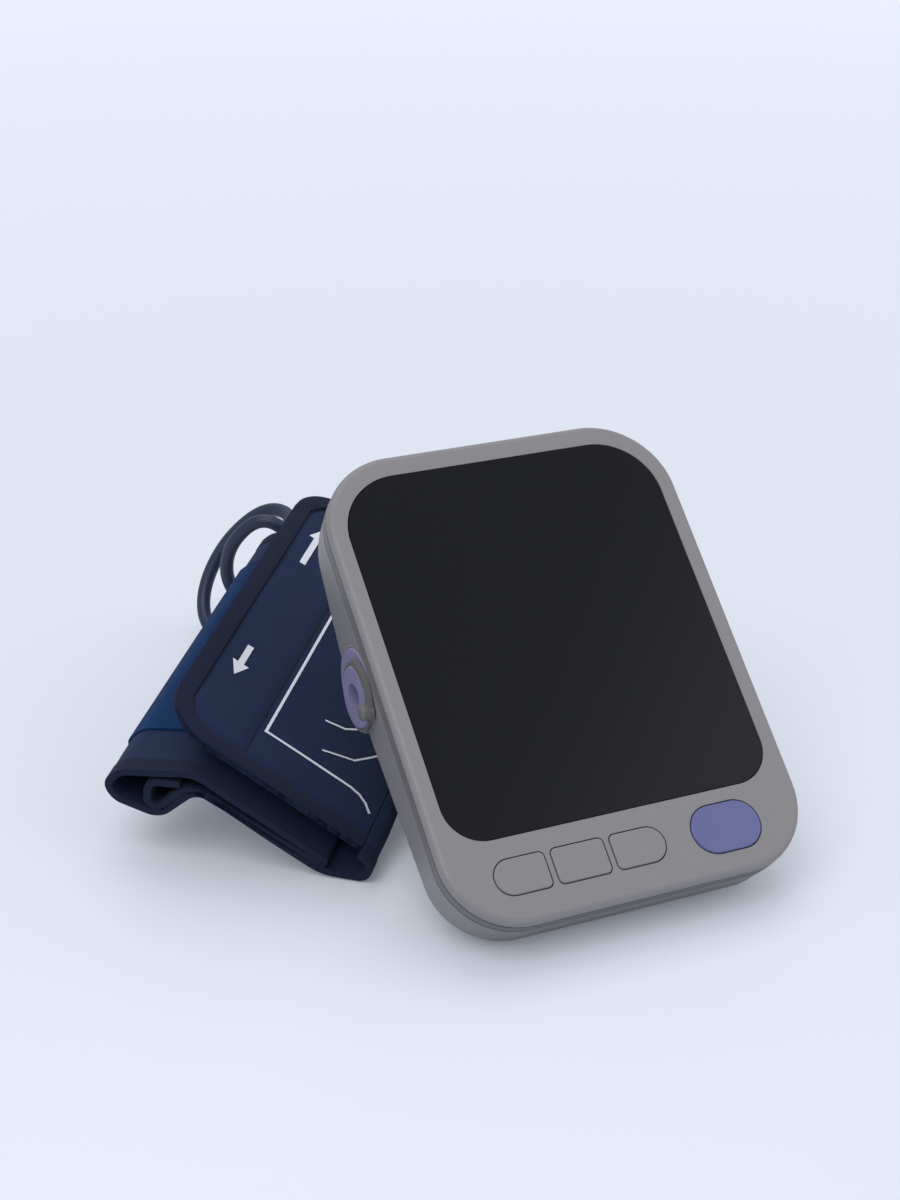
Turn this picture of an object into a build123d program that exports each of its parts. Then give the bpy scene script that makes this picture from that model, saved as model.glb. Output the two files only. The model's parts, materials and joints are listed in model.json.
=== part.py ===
from build123d import *
import math
import os

# Upper arm blood pressure monitor standing on its rear foot, with its rolled cuff behind it.
# Millimetres. Row frame: +X along the monitor's width, +Y to the back, +Z up from the table.

# Monitor body. Its own frame has the face in the plane z = 0, y up the face from the lower edge.
face_tilt = 41.0
body_width = 102.0
body_height = 133.0
corner_top = 22.0
corner_bottom = 20.0
front_depth = 2.4
front_round = 1.9
plate_depth = 3.4
groove = 0.5
band_depth = 2.6
band_thickness = 1.2
wall = 2.0
draft_angle = 5.0
slab_depth_bottom = 19.9
slab_depth_shoulder = 29.5
slab_depth_top = 16.0
shoulder_height = 90.0
back_round = 6.0
clearance = 0.1
fit_gap = 0.15
tongue_wall = 1.0
tongue_reach = 2.0

# Window and display
window_width = 92.0
window_height = 103.8
window_bottom = 23.0
window_corner_top = 17.0
window_corner_bottom = 10.5
window_thickness = 1.4
display_width = 78.0
display_height = 88.0
display_thickness = 2.8
display_centre = 75.0
display_margin = 1.0

# Circuit board and what stands on it
board_top = 8.0
board_thickness = 1.6
board_inset = 4.6
switch_size = 6.0
switch_body = 1.1
switch_nub = 0.5
buzzer_radius = 6.0
buzzer_height = 4.0
buzzer_spot = (38.0, 56.0)
sound_hole_radius = 0.8
sound_hole_pitch = 3.2

# Keys
key_travel = 0.8
key_width = 14.6
key_height = 9.4
key_pitch = 16.5
first_key_x = -31.0
key_row_y = 12.6
key_corner = 1.5
key_proud = 0.3
key_gap = 0.3
key_edge_round = 0.4
flange_width = 0.9
flange_thickness = 1.0
stem_radius = 1.75
start_width = 19.7
start_height = 13.0
start_x = 27.2

# Screws that hold the two housings together
boss_spots = [(-43.0, 24.5), (43.0, 24.5), (-35.5, 123.5), (35.5, 123.5)]
boss_radius = 3.2
boss_meet = 11.0
screw_radius = 1.25
screw_head_radius = 2.6
screw_head_height = 1.8
screw_seat = 15.0

# Air socket in the left wall
socket_y = 73.5
socket_depth = 17.2
bezel_offset = 2.15
bezel_radius = 11.0
bezel_thickness = 4.5
boss_rim = 0.8
collar_radius = 8.4
collar_proud = 1.3
bore_radius = 3.75
bore_length = 9.0
socket_face = 51.0
lever_outer = 10.8
lever_ring = 9.3
lever_thickness = 1.3
lever_half_angle = 48.0
knob_radius = 2.2
knob_proud = 2.2
air_level = 17.2
nozzle_radius = 2.0
tube_bore = 1.0

# Pump, valve and sensor
pump_radius = 7.0
pump_y = 88.0
motor_length = 30.0
head_length = 16.0
saddle_spots = (8.0, 24.0)
valve_size = (9.0, 12.0, 9.0)
sensor_size = (7.0, 7.0, 3.5)
sensor_x = -14.0
air_line_x = -33.0

# Rear foot with the battery bay, in the stand frame: y to the back, z up, tilted back level
foot_width = 61.0
heel_y = 86.0
rear_lean = 13.0
foot_corner = 4.0
rear_wall = 4.1
rib_thickness = 1.6
cell_radius = 7.25
cell_length = 50.5
cell_nub = 1.3
cell_nub_radius = 2.75
cell_gap = 0.3
contact_thickness = 0.55
door_thickness = 1.8
door_low = 3.0
door_high = 31.0
door_dovetail = 0.9
door_slide = 16.0
pad_radius = 3.5
pad_thickness = 1.6
pad_proud = 0.8
pad_spots = [(-22.0, 30.0), (22.0, 30.0), (-22.0, 76.0), (22.0, 76.0)]

# Power jack in the right wall
jack_y = 100.0
jack_width = 8.9
jack_height = 3.3
jack_length = 7.0

# Cuff. Its frame: x across the roll, y along the roll's axis, z square to both.
cuff_spot = (-58.8, 57.8)
cuff_turn = -39.0
cuff_rise = 8.0
cuff_width = 127.0
cuff_start = 0.6
flap_skew = 2.8
strap_thickness = 1.6
cloth_thickness = 0.5
bladder_thickness = 0.4
layer_gap = 0.3
slope_angle = 33.7
slope_point = (-15.1, 12.0)
flap_lift = 8.1
hinge_along = 17.5
flap_length = 63.9
flap_corner = 15.0
binding_width = 0.8
hook_length = 25.0
hook_thickness = 0.7
pile_thickness = 0.6
pile_margin = 18.5

# Air hose
hose_radius = 2.2
gland_radius = 3.7
gland_length = 14.0
coil_turns = 3
coil_radius = 21.8
coil_spot = (-5.5, 174.0)
plug_grip_radius = 4.4
plug_grip_length = 14.0
plug_pin_radius = 3.65
plug_pin_length = 9.0
hose_route = [
    (-27.2, 192.5, 38.35),
    (-15.8, 206.6, 40.9),
    (-20.8, 222.3, 41.0),
    (-34.3, 227.8, 28.5),
    (-44.0, 225.4, 12.5),
    (-45.6, 214.5, 2.4),
    (-34.0, 200.0, 2.4),
    (-21.3, 195.2, 9.5),
    (-17.6, 197.2, 25.0),
    (-20.4, 198.9, 39.0),
    (-29.4, 203.7, 45.5),
    (-37.6, 211.0, 35.0),
    (-38.8, 215.4, 22.0),
    (-33.0, 217.5, 10.0),
    (-19.0, 213.5, 2.4),
    (-3.6, 200.4, 2.3),
]
tail_route = [(20.0, 181.4, 2.3), (30.0, 173.3, 2.3), (38.0, 166.8, 4.5), (43.0, 162.8, 4.6)]

# From the middle of the monitor's lower edge to the middle of the whole footprint
row_shift = (30.55, -98.30)


def rounded(width, height, low_corner, high_corner):
    """Rectangle about its own centre, with one corner radius below and one above."""
    shape = Rectangle(width, height)
    shape = fillet(shape.vertices().sort_by(Axis.Y)[:2], low_corner)
    return fillet(shape.vertices().sort_by(Axis.Y)[-2:], high_corner)


def outline(inset=0.0):
    """Front outline of the monitor, shrunk by inset."""
    shape = rounded(body_width - 2 * inset, body_height - 2 * inset, corner_bottom - inset, corner_top - inset)
    return Pos(0, body_height / 2) * shape


def layer(shape, top, bottom):
    """Solid of a front-view sketch from depth top to depth bottom below the face."""
    return extrude(Pos(0, 0, -bottom) * shape, bottom - top)


def upright(shape, amount):
    """Solid of a (y, z) side profile, amount to each side of the middle plane."""
    return extrude(Plane.YZ * shape, amount, both=True)


def across(radius, y, depth, x_low, x_high):
    """Round bar along X."""
    bar = Cylinder(radius, x_high - x_low)
    return Pos((x_low + x_high) / 2, y, -depth) * Rot(0, 90, 0) * bar


# Front and rear housings
rim_depth = front_depth + groove + band_depth + groove
band_top = front_depth + groove
band_bottom = band_top + band_depth


def slab(inset):
    """Tapered tray with a back that deepens to the shoulder and then slopes up to the top end."""
    tray = extrude(Pos(0, 0, -rim_depth) * outline(inset), 40, dir=(0, 0, -1), taper=draft_angle)
    low_slope = (slab_depth_shoulder - slab_depth_bottom) / shoulder_height
    high_slope = (slab_depth_shoulder - slab_depth_top) / (body_height - shoulder_height)
    past = 10.0
    back = Polygon(
        (-past, 0),
        (-past, -(slab_depth_bottom - past * low_slope) + inset),
        (shoulder_height, -slab_depth_shoulder + inset),
        (body_height + past, -(slab_depth_top - past * high_slope) + inset),
        (body_height + past, 0),
        align=None,
    )
    tray = tray & upright(back, body_width)
    back_edges = [e for e in tray.edges() if e.center().Z < -rim_depth - 2 * inset - 3]
    back_edges = [e for e in back_edges if abs(e.center().Z) > slab_depth_top - inset - 3 or e.length > 20]
    long_edges = [e for e in back_edges if not (abs(e.center().X) < 1 and abs(e.center().Y - shoulder_height) < 1)]
    return fillet(long_edges, back_round - inset)


stand = Rot(face_tilt, 0, 0)
unstand = Rot(-face_tilt, 0, 0)
slab_outer = slab(0)
base_level = (stand * slab_outer).bounding_box().min.Z
tilt = math.radians(face_tilt)
lean = math.radians(rear_lean)


def stand_point(y, depth):
    """Monitor coordinates (up the face, depth) to stand coordinates (back, up)."""
    return (y * math.cos(tilt) + depth * math.sin(tilt), y * math.sin(tilt) - depth * math.cos(tilt))


foot_reach = 36.0
foot_top = (heel_y - foot_reach * math.tan(lean), base_level + foot_reach)


def foot_profile():
    """Side profile of the rear foot, whose upper side lies inside the slab."""
    inner_top = stand_point(72.0, slab_depth_shoulder - 12)
    inner_low = stand_point(9.0, slab_depth_bottom - 6)
    return Polygon((19.5, base_level), (heel_y, base_level), foot_top, inner_top, inner_low, align=None)


def foot_block(inset, rear):
    """Battery foot behind the slab, shrunk by inset at the sides and by rear at the back."""
    profile = foot_profile()
    if inset > 0:
        profile = offset(profile, -inset) & (Pos(-rear, 0) * profile)
    block = upright(profile, foot_width / 2 - inset)
    corners = block.edges().filter_by(lambda e: abs(e.tangent_at(0.5).X) < 0.1)
    corners = [e for e in corners if e.center().Y > (heel_y + foot_top[0]) / 2 - rear - inset - 3]
    block = fillet(corners, max(foot_corner - inset - rear, 1.0))
    return unstand * block


def socket_disc(radius, x_low, x_high, centre_y):
    return across(radius, centre_y, socket_depth, -x_high, -x_low)


cell_low = base_level + wall + cell_gap + cell_radius
cell_step = 2 * cell_radius + cell_gap
cell_back = heel_y - rear_wall / math.cos(lean) - cell_gap - cell_radius - 2.6
cell_spots = [
    (cell_back, cell_low),
    (cell_back - cell_step, cell_low),
    (cell_back - 3.4, cell_low + cell_step),
    (cell_back - 3.4 - cell_step, cell_low + cell_step),
]


def bay_rib(x):
    """Rib across the battery bay with a cradle for each cell, open towards the door."""
    profile = offset(foot_profile(), -wall + 0.05) & (Pos(-rear_wall, 0) * foot_profile())
    profile = profile & (Pos(cell_back - cell_step, cell_low + 6) * Rectangle(2.6 * cell_step, 2.6 * cell_step))
    for y, z in cell_spots:
        profile = profile - Pos(y, z) * Circle(cell_radius + cell_gap)
    reach = 2.2 * cell_step
    for y, z in (cell_spots[0], cell_spots[2]):
        slot = Pos(y + reach / 2, z) * Rectangle(reach, 2 * (cell_radius + cell_gap))
        profile = profile - slot
    rib = extrude(Plane.YZ * profile, rib_thickness / 2, both=True)
    return unstand * (Pos(x, 0, 0) * rib)


door_plane = Plane(origin=(0, heel_y, base_level), x_dir=(-1, 0, 0), z_dir=(0, math.cos(lean), math.sin(lean)))


def door_bar(grow, x_low, x_high, depth):
    """Dovetailed bar along X in the foot's rear face, wider on its inner side."""
    low = door_low - grow
    high = door_high + grow
    profile = Polygon(
        (low, 0.01), (high, 0.01), (high + door_dovetail, -depth), (low - door_dovetail, -depth), align=None
    )
    side = Plane(origin=door_plane.origin, x_dir=door_plane.y_dir, z_dir=(-1, 0, 0))
    bar = extrude(side * profile, x_high - x_low, dir=(1, 0, 0))
    return Pos(x_low, 0, 0) * bar


def make_front_housing():
    shell = extrude(Pos(0, 0, -front_depth) * outline(), front_depth)
    shell = fillet(shell.faces().sort_by(Axis.Z)[-1].outer_wire().edges(), front_round)
    tongue_in = band_thickness + clearance
    shell += layer(outline(tongue_in), front_depth, plate_depth)
    lead = wall + fit_gap + tongue_reach * math.tan(math.radians(draft_angle))
    inner = outline(lead + tongue_wall)
    shell += layer(outline(tongue_in) - inner, front_depth, rim_depth - 0.1)
    shell += layer(outline(lead) - inner, rim_depth - 0.1, rim_depth + tongue_reach)
    for x, y in boss_spots:
        shell += Pos(x, y, -(plate_depth + boss_meet) / 2) * Cylinder(boss_radius, boss_meet - plate_depth + 0.2)
    shell -= layer(window_outline(fit_gap), -1, window_thickness + 0.1)
    opening = Pos(0, display_centre) * Rectangle(display_width + 2 * display_margin, display_height + 2 * display_margin)
    shell -= layer(opening, 0, plate_depth + 0.5)
    for key in key_shapes.values():
        shell -= layer(offset(key, key_gap), -1, plate_depth + 0.5)
    shell -= socket_disc(bezel_radius + boss_rim + clearance, 30, 60, socket_y + bezel_offset)
    for x, y in boss_spots:
        shell -= Pos(x, y, -boss_meet / 2 - 2.5) * Cylinder(screw_radius + fit_gap, boss_meet - 4.6)
    return shell


def window_outline(grow=0.0):
    shape = rounded(
        window_width + 2 * grow, window_height + 2 * grow, window_corner_bottom + grow, window_corner_top + grow
    )
    return Pos(0, window_bottom + window_height / 2) * shape


def make_key_shapes():
    """Front outlines of the four keys: round-ended, square, round-ended, and the large oval."""
    end = key_height / 2 - 0.01
    plain = rounded(key_width, key_height, key_corner, key_corner)
    round_left = Rectangle(key_width, key_height)
    round_left = fillet(round_left.vertices().sort_by(Axis.X)[:2], end)
    round_left = fillet(round_left.vertices().sort_by(Axis.X)[-2:], key_corner)
    round_right = mirror(round_left, Plane.YZ)
    shapes = {}
    for index, (name, shape) in enumerate(
        [("left_key", round_left), ("middle_key", plain), ("right_key", round_right)]
    ):
        shapes[name] = Pos(first_key_x + index * key_pitch, key_row_y) * shape
    oval = RectangleRounded(start_width, start_height, start_height / 2 - 0.01)
    shapes["start_key"] = Pos(start_x, key_row_y) * oval
    return shapes


key_shapes = make_key_shapes()


def make_key(shape):
    """Cap with a retaining flange under the front plate and a stem over its switch."""
    cap = extrude(Pos(0, 0, -plate_depth - clearance) * shape, plate_depth + clearance + key_proud)
    cap = fillet(cap.faces().sort_by(Axis.Z)[-1].edges(), key_edge_round)
    flange_top = plate_depth + clearance
    cap += layer(offset(shape, flange_width), flange_top, flange_top + flange_thickness)
    centre = shape.center()
    stem_low = board_top - switch_body - switch_nub - key_travel - clearance
    stem_high = flange_top + flange_thickness - 0.1
    return cap + Pos(centre.X, centre.Y, -(stem_low + stem_high) / 2) * Cylinder(stem_radius, stem_low - stem_high)


def make_rear_housing():
    outer = slab_outer + foot_block(0, 0)
    boss = socket_disc(bezel_radius + boss_rim, 38, socket_face - 0.4, socket_y + bezel_offset)
    boss = boss & (Pos(0, body_height / 2, -rim_depth - 30) * Box(200, 200, 60))
    cavity = slab(wall) + foot_block(wall, rear_wall)
    pocket = socket_disc(bezel_radius + boss_rim - wall, 30, socket_face - bezel_thickness - 1.4, socket_y + bezel_offset)
    shell = (outer + boss) - cavity - pocket
    shell -= socket_disc(bezel_radius + clearance, 30, socket_face + 5, socket_y + bezel_offset)
    for x in (-foot_width / 4, foot_width / 4):
        shell += bay_rib(x)
    for x in saddle_spots:
        saddle = Pos(x, pump_y, -slab_depth_shoulder + 6.5) * Box(rib_thickness, 20, 11)
        shell += (saddle & slab(wall - 0.05)) - across(pump_radius + clearance, pump_y, air_level, -60, 60)
    for x, y in boss_spots:
        post = Pos(x, y, -boss_meet - clearance - 10) * Cylinder(boss_radius + 0.6, 20)
        shell += post & slab(wall - 0.05)
        shell -= Pos(x, y, -screw_seat - 15) * Cylinder(screw_head_radius + fit_gap, 30)
        shell -= Pos(x, y, -screw_seat) * Cylinder(screw_radius + fit_gap, 14)
    for step in range(6):
        angle = math.radians(60 * step)
        x = buzzer_spot[0] + sound_hole_pitch * math.cos(angle)
        y = buzzer_spot[1] + sound_hole_pitch * math.sin(angle)
        shell -= Pos(x, y, -30) * Cylinder(sound_hole_radius, 20)
    shell -= Pos(*buzzer_spot, -30) * Cylinder(sound_hole_radius, 20)
    jack_cut = Box(12, jack_width + 0.6, jack_height + 0.6)
    shell -= Pos(body_width / 2 - 2, jack_y, -jack_depth) * jack_cut
    shell -= unstand * door_bar(fit_gap, -foot_width / 2 + 3 - fit_gap, foot_width / 2 + 1, door_thickness + fit_gap)
    middle = (door_low + door_high) / 2
    access = Location(door_plane) * Pos(0, middle, 0) * Box(cell_length + 1, door_high - door_low - 4, rear_wall * 3)
    shell -= unstand * access
    for x, y in pad_spots:
        shell -= unstand * (Pos(x, y, base_level) * Cylinder(pad_radius + clearance, 2 * (pad_thickness - pad_proud)))
    return shell


jack_depth = board_top + board_thickness + jack_height / 2 + 0.05


def make_battery_cover():
    """Dovetailed slide-off door with a thumb grip."""
    bar = unstand * door_bar(0, -foot_width / 2 + 3, foot_width / 2 + 1, door_thickness)
    cover = bar & foot_block(0, 0)
    for step in range(5):
        rib = Pos(-10 - 2.4 * step, (door_low + door_high) / 2, 0.2) * Box(1.0, 14, 0.5)
        cover += unstand * (Location(door_plane) * rib)
    return cover


def make_batteries():
    cells = []
    for index, (y, z) in enumerate(cell_spots):
        side = 1 if index % 2 == 0 else -1
        can = Pos(-side * cell_nub / 2, y, z) * Rot(0, 90, 0) * Cylinder(cell_radius, cell_length - cell_nub)
        nub_x = side * (cell_length / 2 - cell_nub / 2 - 0.1)
        can += Pos(nub_x, y, z) * Rot(0, 90, 0) * Cylinder(cell_nub_radius, cell_nub + 0.2)
        cells.append(unstand * can)
    return cells


def make_contacts():
    """A plate at each end of each cell, with a spring cone at the flat end and a dimple at the nub."""
    plates = []
    half_bay = foot_width / 2 - wall
    reach = half_bay - contact_thickness - cell_length / 2
    for index, (y, z) in enumerate(cell_spots):
        for side in (1, -1):
            plate_x = side * (half_bay - contact_thickness / 2 - 0.03)
            plate = Pos(plate_x, y, z) * Box(contact_thickness, 9.6, 9.6)
            flat_end = (index % 2 == 0) == (side < 0)
            wide, narrow = (4.0, 2.4) if flat_end else (3.0, 2.0)
            cone = Cone(wide, narrow, reach, align=(Align.CENTER, Align.CENTER, Align.MIN))
            cone = Pos(side * (half_bay - contact_thickness), y, z) * Rot(0, -90 * side, 0) * cone
            plates.append(unstand * (plate + cone))
    return plates


def make_pads():
    pad = Cylinder(pad_radius, pad_thickness, align=(Align.CENTER, Align.CENTER, Align.MIN))
    pad = fillet(pad.faces().sort_by(Axis.Z)[0].edges(), 0.5)
    return [unstand * (Pos(x, y, base_level - pad_proud) * pad) for x, y in pad_spots]


def make_screws():
    screws = []
    for x, y in boss_spots:
        head = Pos(x, y, -screw_seat - screw_head_height / 2) * Cylinder(screw_head_radius, screw_head_height)
        head -= Pos(x, y, -screw_seat - screw_head_height) * Box(3.2, 0.7, 1.6)
        head -= Pos(x, y, -screw_seat - screw_head_height) * Box(0.7, 3.2, 1.6)
        shaft = Pos(x, y, -(screw_seat + 5.2) / 2) * Cylinder(screw_radius, screw_seat - 5.0)
        screws.append(head + shaft)
    return screws


def make_board():
    board = layer(outline(board_inset), board_top, board_top + board_thickness)
    for x, y in boss_spots:
        board -= Pos(x, y, -board_top) * Cylinder(boss_radius + 0.8, 6)
    return board


def make_switches():
    bodies = []
    for shape in key_shapes.values():
        spot = shape.center()
        body = Pos(spot.X, spot.Y, -board_top + switch_body / 2 + 0.02) * Box(switch_size, switch_size, switch_body)
        nub_z = -board_top + switch_body + switch_nub / 2
        bodies.append(body + Pos(spot.X, spot.Y, nub_z) * Cylinder(1.7, switch_nub + 0.04))
    return bodies


def make_window():
    pane = layer(window_outline(), 0, window_thickness)
    return chamfer(pane.faces().sort_by(Axis.Z)[-1].edges(), 0.2)


def make_display():
    return Pos(0, display_centre, -window_thickness - 0.15 - display_thickness / 2) * Box(
        display_width, display_height, display_thickness
    )


def make_display_holder():
    """Light box frame between the display and the board."""
    top = window_thickness + 0.15 + display_thickness + clearance
    frame = Rectangle(display_width, display_height) - Rectangle(display_width - 10, display_height - 10)
    frame += Rectangle(display_width, 3) + Rectangle(3, display_height)
    return layer(Pos(0, display_centre) * frame, top, board_top - clearance)


def make_bezel():
    ring = socket_disc(bezel_radius, socket_face - bezel_thickness, socket_face, socket_y + bezel_offset)
    ring = fillet(ring.faces().sort_by(Axis.X)[0].edges(), 0.6)
    return ring - socket_disc(collar_radius + clearance, 30, 60, socket_y)


def make_collar():
    """Turned collar with the plug's bore, a flange behind and a nozzle for the inner tube."""
    tip = socket_face + collar_proud
    back = socket_face - bezel_thickness
    collar = socket_disc(collar_radius, back, tip, socket_y)
    collar = fillet(collar.faces().sort_by(Axis.X)[0].edges(), 0.8)
    end = tip - bore_length - 1.5
    collar += socket_disc(bore_radius + 1.6, end, back + 0.1, socket_y)
    collar += socket_disc(nozzle_radius, end - 4, end + 0.1, socket_y)
    collar -= socket_disc(bore_radius, tip - bore_length, tip + 1, socket_y)
    return collar - socket_disc(tube_bore, end - 5, tip, socket_y)


def make_lever():
    """Ring that turns round the collar, with a crescent guard and a thumb knob."""
    low = socket_face + clearance
    high = low + lever_thickness
    ring = socket_disc(lever_ring, low, low + 0.6, socket_y)
    guard = socket_disc(lever_outer, low, high, socket_y)
    edge = math.radians(lever_half_angle)
    wedge = Polygon((0, 0), (30 * math.sin(edge), 30 * math.cos(edge)), (-30 * math.sin(edge), 30 * math.cos(edge)), align=None)
    wedge = extrude(Plane(origin=(-60, socket_y, -socket_depth), x_dir=(0, 1, 0), z_dir=(1, 0, 0)) * wedge, 60)
    ring += guard & wedge
    knob_y = socket_y - (lever_outer - 1.4) * math.sin(edge)
    knob_depth = socket_depth - (lever_outer - 1.4) * math.cos(edge)
    knob = across(knob_radius, knob_y, knob_depth, -high - knob_proud, -low)
    ring += fillet(knob.faces().sort_by(Axis.X)[0].edges(), 1.2)
    return ring - socket_disc(collar_radius + fit_gap, 30, 60, socket_y)


def make_pump():
    """Diaphragm pump: motor can, square-shouldered head and an outlet nozzle."""
    can = across(pump_radius, pump_y, air_level, 0, motor_length)
    can += across(pump_radius * 0.35, pump_y, air_level, motor_length - 0.1, motor_length + 2.5)
    head = across(pump_radius, pump_y, air_level, -head_length, 0.1)
    head += across(pump_radius + 0.4, pump_y, air_level, -head_length * 0.55, -head_length * 0.35)
    nozzle = across(nozzle_radius, pump_y, air_level, -head_length - 5, -head_length + 0.1)
    return can + head + nozzle


def make_manifold():
    """Four-way block behind the socket: socket, pump, valve and sensor."""
    block = Pos(air_line_x, socket_y, -air_level) * Box(7, 9, 7)
    block += Pos(air_line_x, socket_y, -air_level) * Rot(90, 0, 0) * Cylinder(nozzle_radius, 19)
    block += across(nozzle_radius, socket_y, air_level, air_line_x, air_line_x + 8)
    return block + across(nozzle_radius + 1, socket_y, air_level, manifold_inlet, air_line_x)


manifold_inlet = -(socket_face + collar_proud - bore_length - 1.5) + 4.05


def make_valve():
    """Release valve with its nozzle towards the manifold."""
    body = Pos(air_line_x, socket_y - 22, -air_level) * Box(*valve_size)
    body += Pos(air_line_x, socket_y - 15, -air_level) * Rot(90, 0, 0) * Cylinder(nozzle_radius, 6)
    return body + Pos(air_line_x, socket_y - 22, -air_level + 5.6) * Cylinder(2.2, 2.6)


def make_sensor():
    """Pressure sensor on the board's rear side."""
    top = board_top + board_thickness + 0.05
    body = Pos(sensor_x, socket_y, -top - sensor_size[2] / 2) * Box(*sensor_size)
    return body + Pos(sensor_x, socket_y, -top - sensor_size[2] - 0.7) * Cylinder(1.2, 1.6)


def make_air_tubes():
    """Soft tubes from the manifold to the pump, the valve and the sensor."""
    z = -air_level
    sensor_end = board_top + board_thickness + sensor_size[2] + 1.6
    routes = [
        ([(-head_length - 5.1, pump_y, z), (air_line_x, pump_y, z), (air_line_x, socket_y + 9.6, z)], 4.0),
        ([(air_line_x + 8.1, socket_y, z), (sensor_x, socket_y, z), (sensor_x, socket_y, -sensor_end)], 1.9),
    ]
    tubes = []
    for points, radius in routes:
        path = FilletPolyline(*points, radius=radius)
        profile = Plane(origin=path @ 0, z_dir=path % 0) * Circle(nozzle_radius - 0.3)
        tubes.append(sweep(profile, path=path))
    straight = Pos(air_line_x, socket_y - 10.8, z) * Rot(90, 0, 0) * Cylinder(nozzle_radius, 2.4)
    tubes.append(straight)
    return tubes


def make_jack():
    """Metal power jack shell with its tongue."""
    shell_x = body_width / 2 - 1.2 - jack_length / 2
    shell = Pos(shell_x, jack_y, -jack_depth) * Box(jack_length, jack_width, jack_height)
    shell = fillet(shell.edges().filter_by(Axis.X), 1.2)
    hollow = Pos(shell_x + 0.5, jack_y, -jack_depth) * Box(jack_length, jack_width - 0.7, jack_height - 0.7)
    hollow = fillet(hollow.edges().filter_by(Axis.X), 0.9)
    tongue = Pos(shell_x - 0.4, jack_y, -jack_depth) * Box(jack_length - 1, jack_width - 2.4, 0.7)
    return (shell - hollow) + tongue


def make_buzzer():
    top = board_top + board_thickness + 0.05
    can = Pos(*buzzer_spot, -top - buzzer_height / 2) * Cylinder(buzzer_radius, buzzer_height)
    return can - Pos(*buzzer_spot, -top - buzzer_height) * Cylinder(1.0, 2)


# Cuff section: corners of the strap's outer surface, from the right fold inwards to its last end
slope = math.radians(slope_angle)
pitch = strap_thickness + layer_gap
fold_width = 2 * strap_thickness + layer_gap
tight_radius = fold_width / 2


def on_slope(lift, along):
    """Point in the cuff section: lift square to the slope, along down the slope to the right."""
    return (
        slope_point[0] + along * math.cos(slope) + lift * math.sin(slope),
        slope_point[1] - along * math.sin(slope) + lift * math.cos(slope),
    )


def shifted(corners, distance):
    """Corners of a polyline moved sideways, to the right of its direction."""
    lines = []
    for (x0, z0), (x1, z1) in zip(corners, corners[1:]):
        length = math.hypot(x1 - x0, z1 - z0)
        dx, dz = (x1 - x0) / length, (z1 - z0) / length
        lines.append((x0 + distance * dz, z0 - distance * dx, dx, dz))
    moved = [(lines[0][0], lines[0][1])]
    for (x0, z0, dx0, dz0), (x1, z1, dx1, dz1) in zip(lines, lines[1:]):
        cross = dx0 * dz1 - dz0 * dx1
        step = ((x1 - x0) * dz1 - (z1 - z0) * dx1) / cross
        moved.append((x0 + step * dx0, z0 + step * dz0))
    end_x, end_z = corners[-1]
    moved.append((end_x + distance * lines[-1][3], end_z - distance * lines[-1][2]))
    return moved


def turns_right(corners):
    """For each inner corner, whether the path turns to the right there."""
    flags = []
    for (x0, z0), (x1, z1), (x2, z2) in zip(corners, corners[1:], corners[2:]):
        flags.append((x1 - x0) * (z2 - z1) - (z1 - z0) * (x2 - x1) < 0)
    return flags


def strip_face(corners, radii, near, far):
    """Section of a strap layer between two distances inside its outer surface."""
    sides = []
    for distance in (near, far):
        signs = turns_right(corners)
        rounds = [max(r - distance, 0.1) if right else r + distance for r, right in zip(radii, signs)]
        sides.append(FilletPolyline(*shifted(corners, distance), radius=rounds))
    caps = [Line(sides[0] @ 0, sides[1] @ 0), Line(sides[0] @ 1, sides[1] @ 1)]
    return make_face([*sides[0].edges(), *sides[1].edges(), *caps])


def along_roll(face, start, length):
    """Solid of a cuff section, from start along the roll's axis."""
    return Pos(0, start, 0) * extrude(Plane.XZ * face, -length)


bulb = [(-40.0, 22.1), (-51.8, 11.9), (-64.8, 16.0), (-67.4, 21.6), (-62.0, 26.3)]
bulb_radii = [4.0, 4.0, 3.4, 3.0, 5.0]
crown = on_slope(0, -30.6)
right_fold = [on_slope(flap_lift, 23.3), (4.6, 0.2), (-7.2, 0.2)]
right_radii = [4.2, 4.0, 8.0]
tight_fold = [on_slope(0, 12.4), on_slope(-fold_width, 12.4)]
flank = shifted([right_fold[2], *bulb[:3]], pitch)
curl = [flank[1], flank[2], (-56.0, 15.6), (-54.8, 24.7), (-45.0, 25.1)]
strap = [on_slope(flap_lift, hinge_along), *right_fold, *bulb, crown, *tight_fold, *curl]
strap_radii = [
    *right_radii,
    *bulb_radii,
    7.0,
    tight_radius - 0.03,
    tight_radius - 0.03,
    bulb_radii[0] + pitch,
    bulb_radii[1] - pitch,
    2.2,
    3.0,
]

cuff_frame = Pos(cuff_spot[0], cuff_spot[1], 0) * Rot(0, 0, cuff_turn) * Rot(cuff_rise, 0, 0)
flap_plane = Plane(
    origin=(on_slope(flap_lift, 0)[0], 0, on_slope(flap_lift, 0)[1]),
    x_dir=(math.cos(slope), 0, -math.sin(slope)),
    z_dir=(math.sin(slope), 0, math.cos(slope)),
)
flap_end = hinge_along - flap_length


def flap_sheet(inset, top, bottom, right):
    """Flat panel of the flap with two round corners at its free end."""
    length = right - flap_end - inset
    width = cuff_width - 2 * inset
    panel = Rectangle(length, width)
    panel = fillet(panel.vertices().sort_by(Axis.X)[:2], flap_corner - inset)
    centre = (right + flap_end + inset) / 2
    panel = Pos(centre, cuff_start + flap_skew + cuff_width / 2, -bottom) * panel
    return Location(flap_plane) * extrude(panel, bottom - top)


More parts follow.
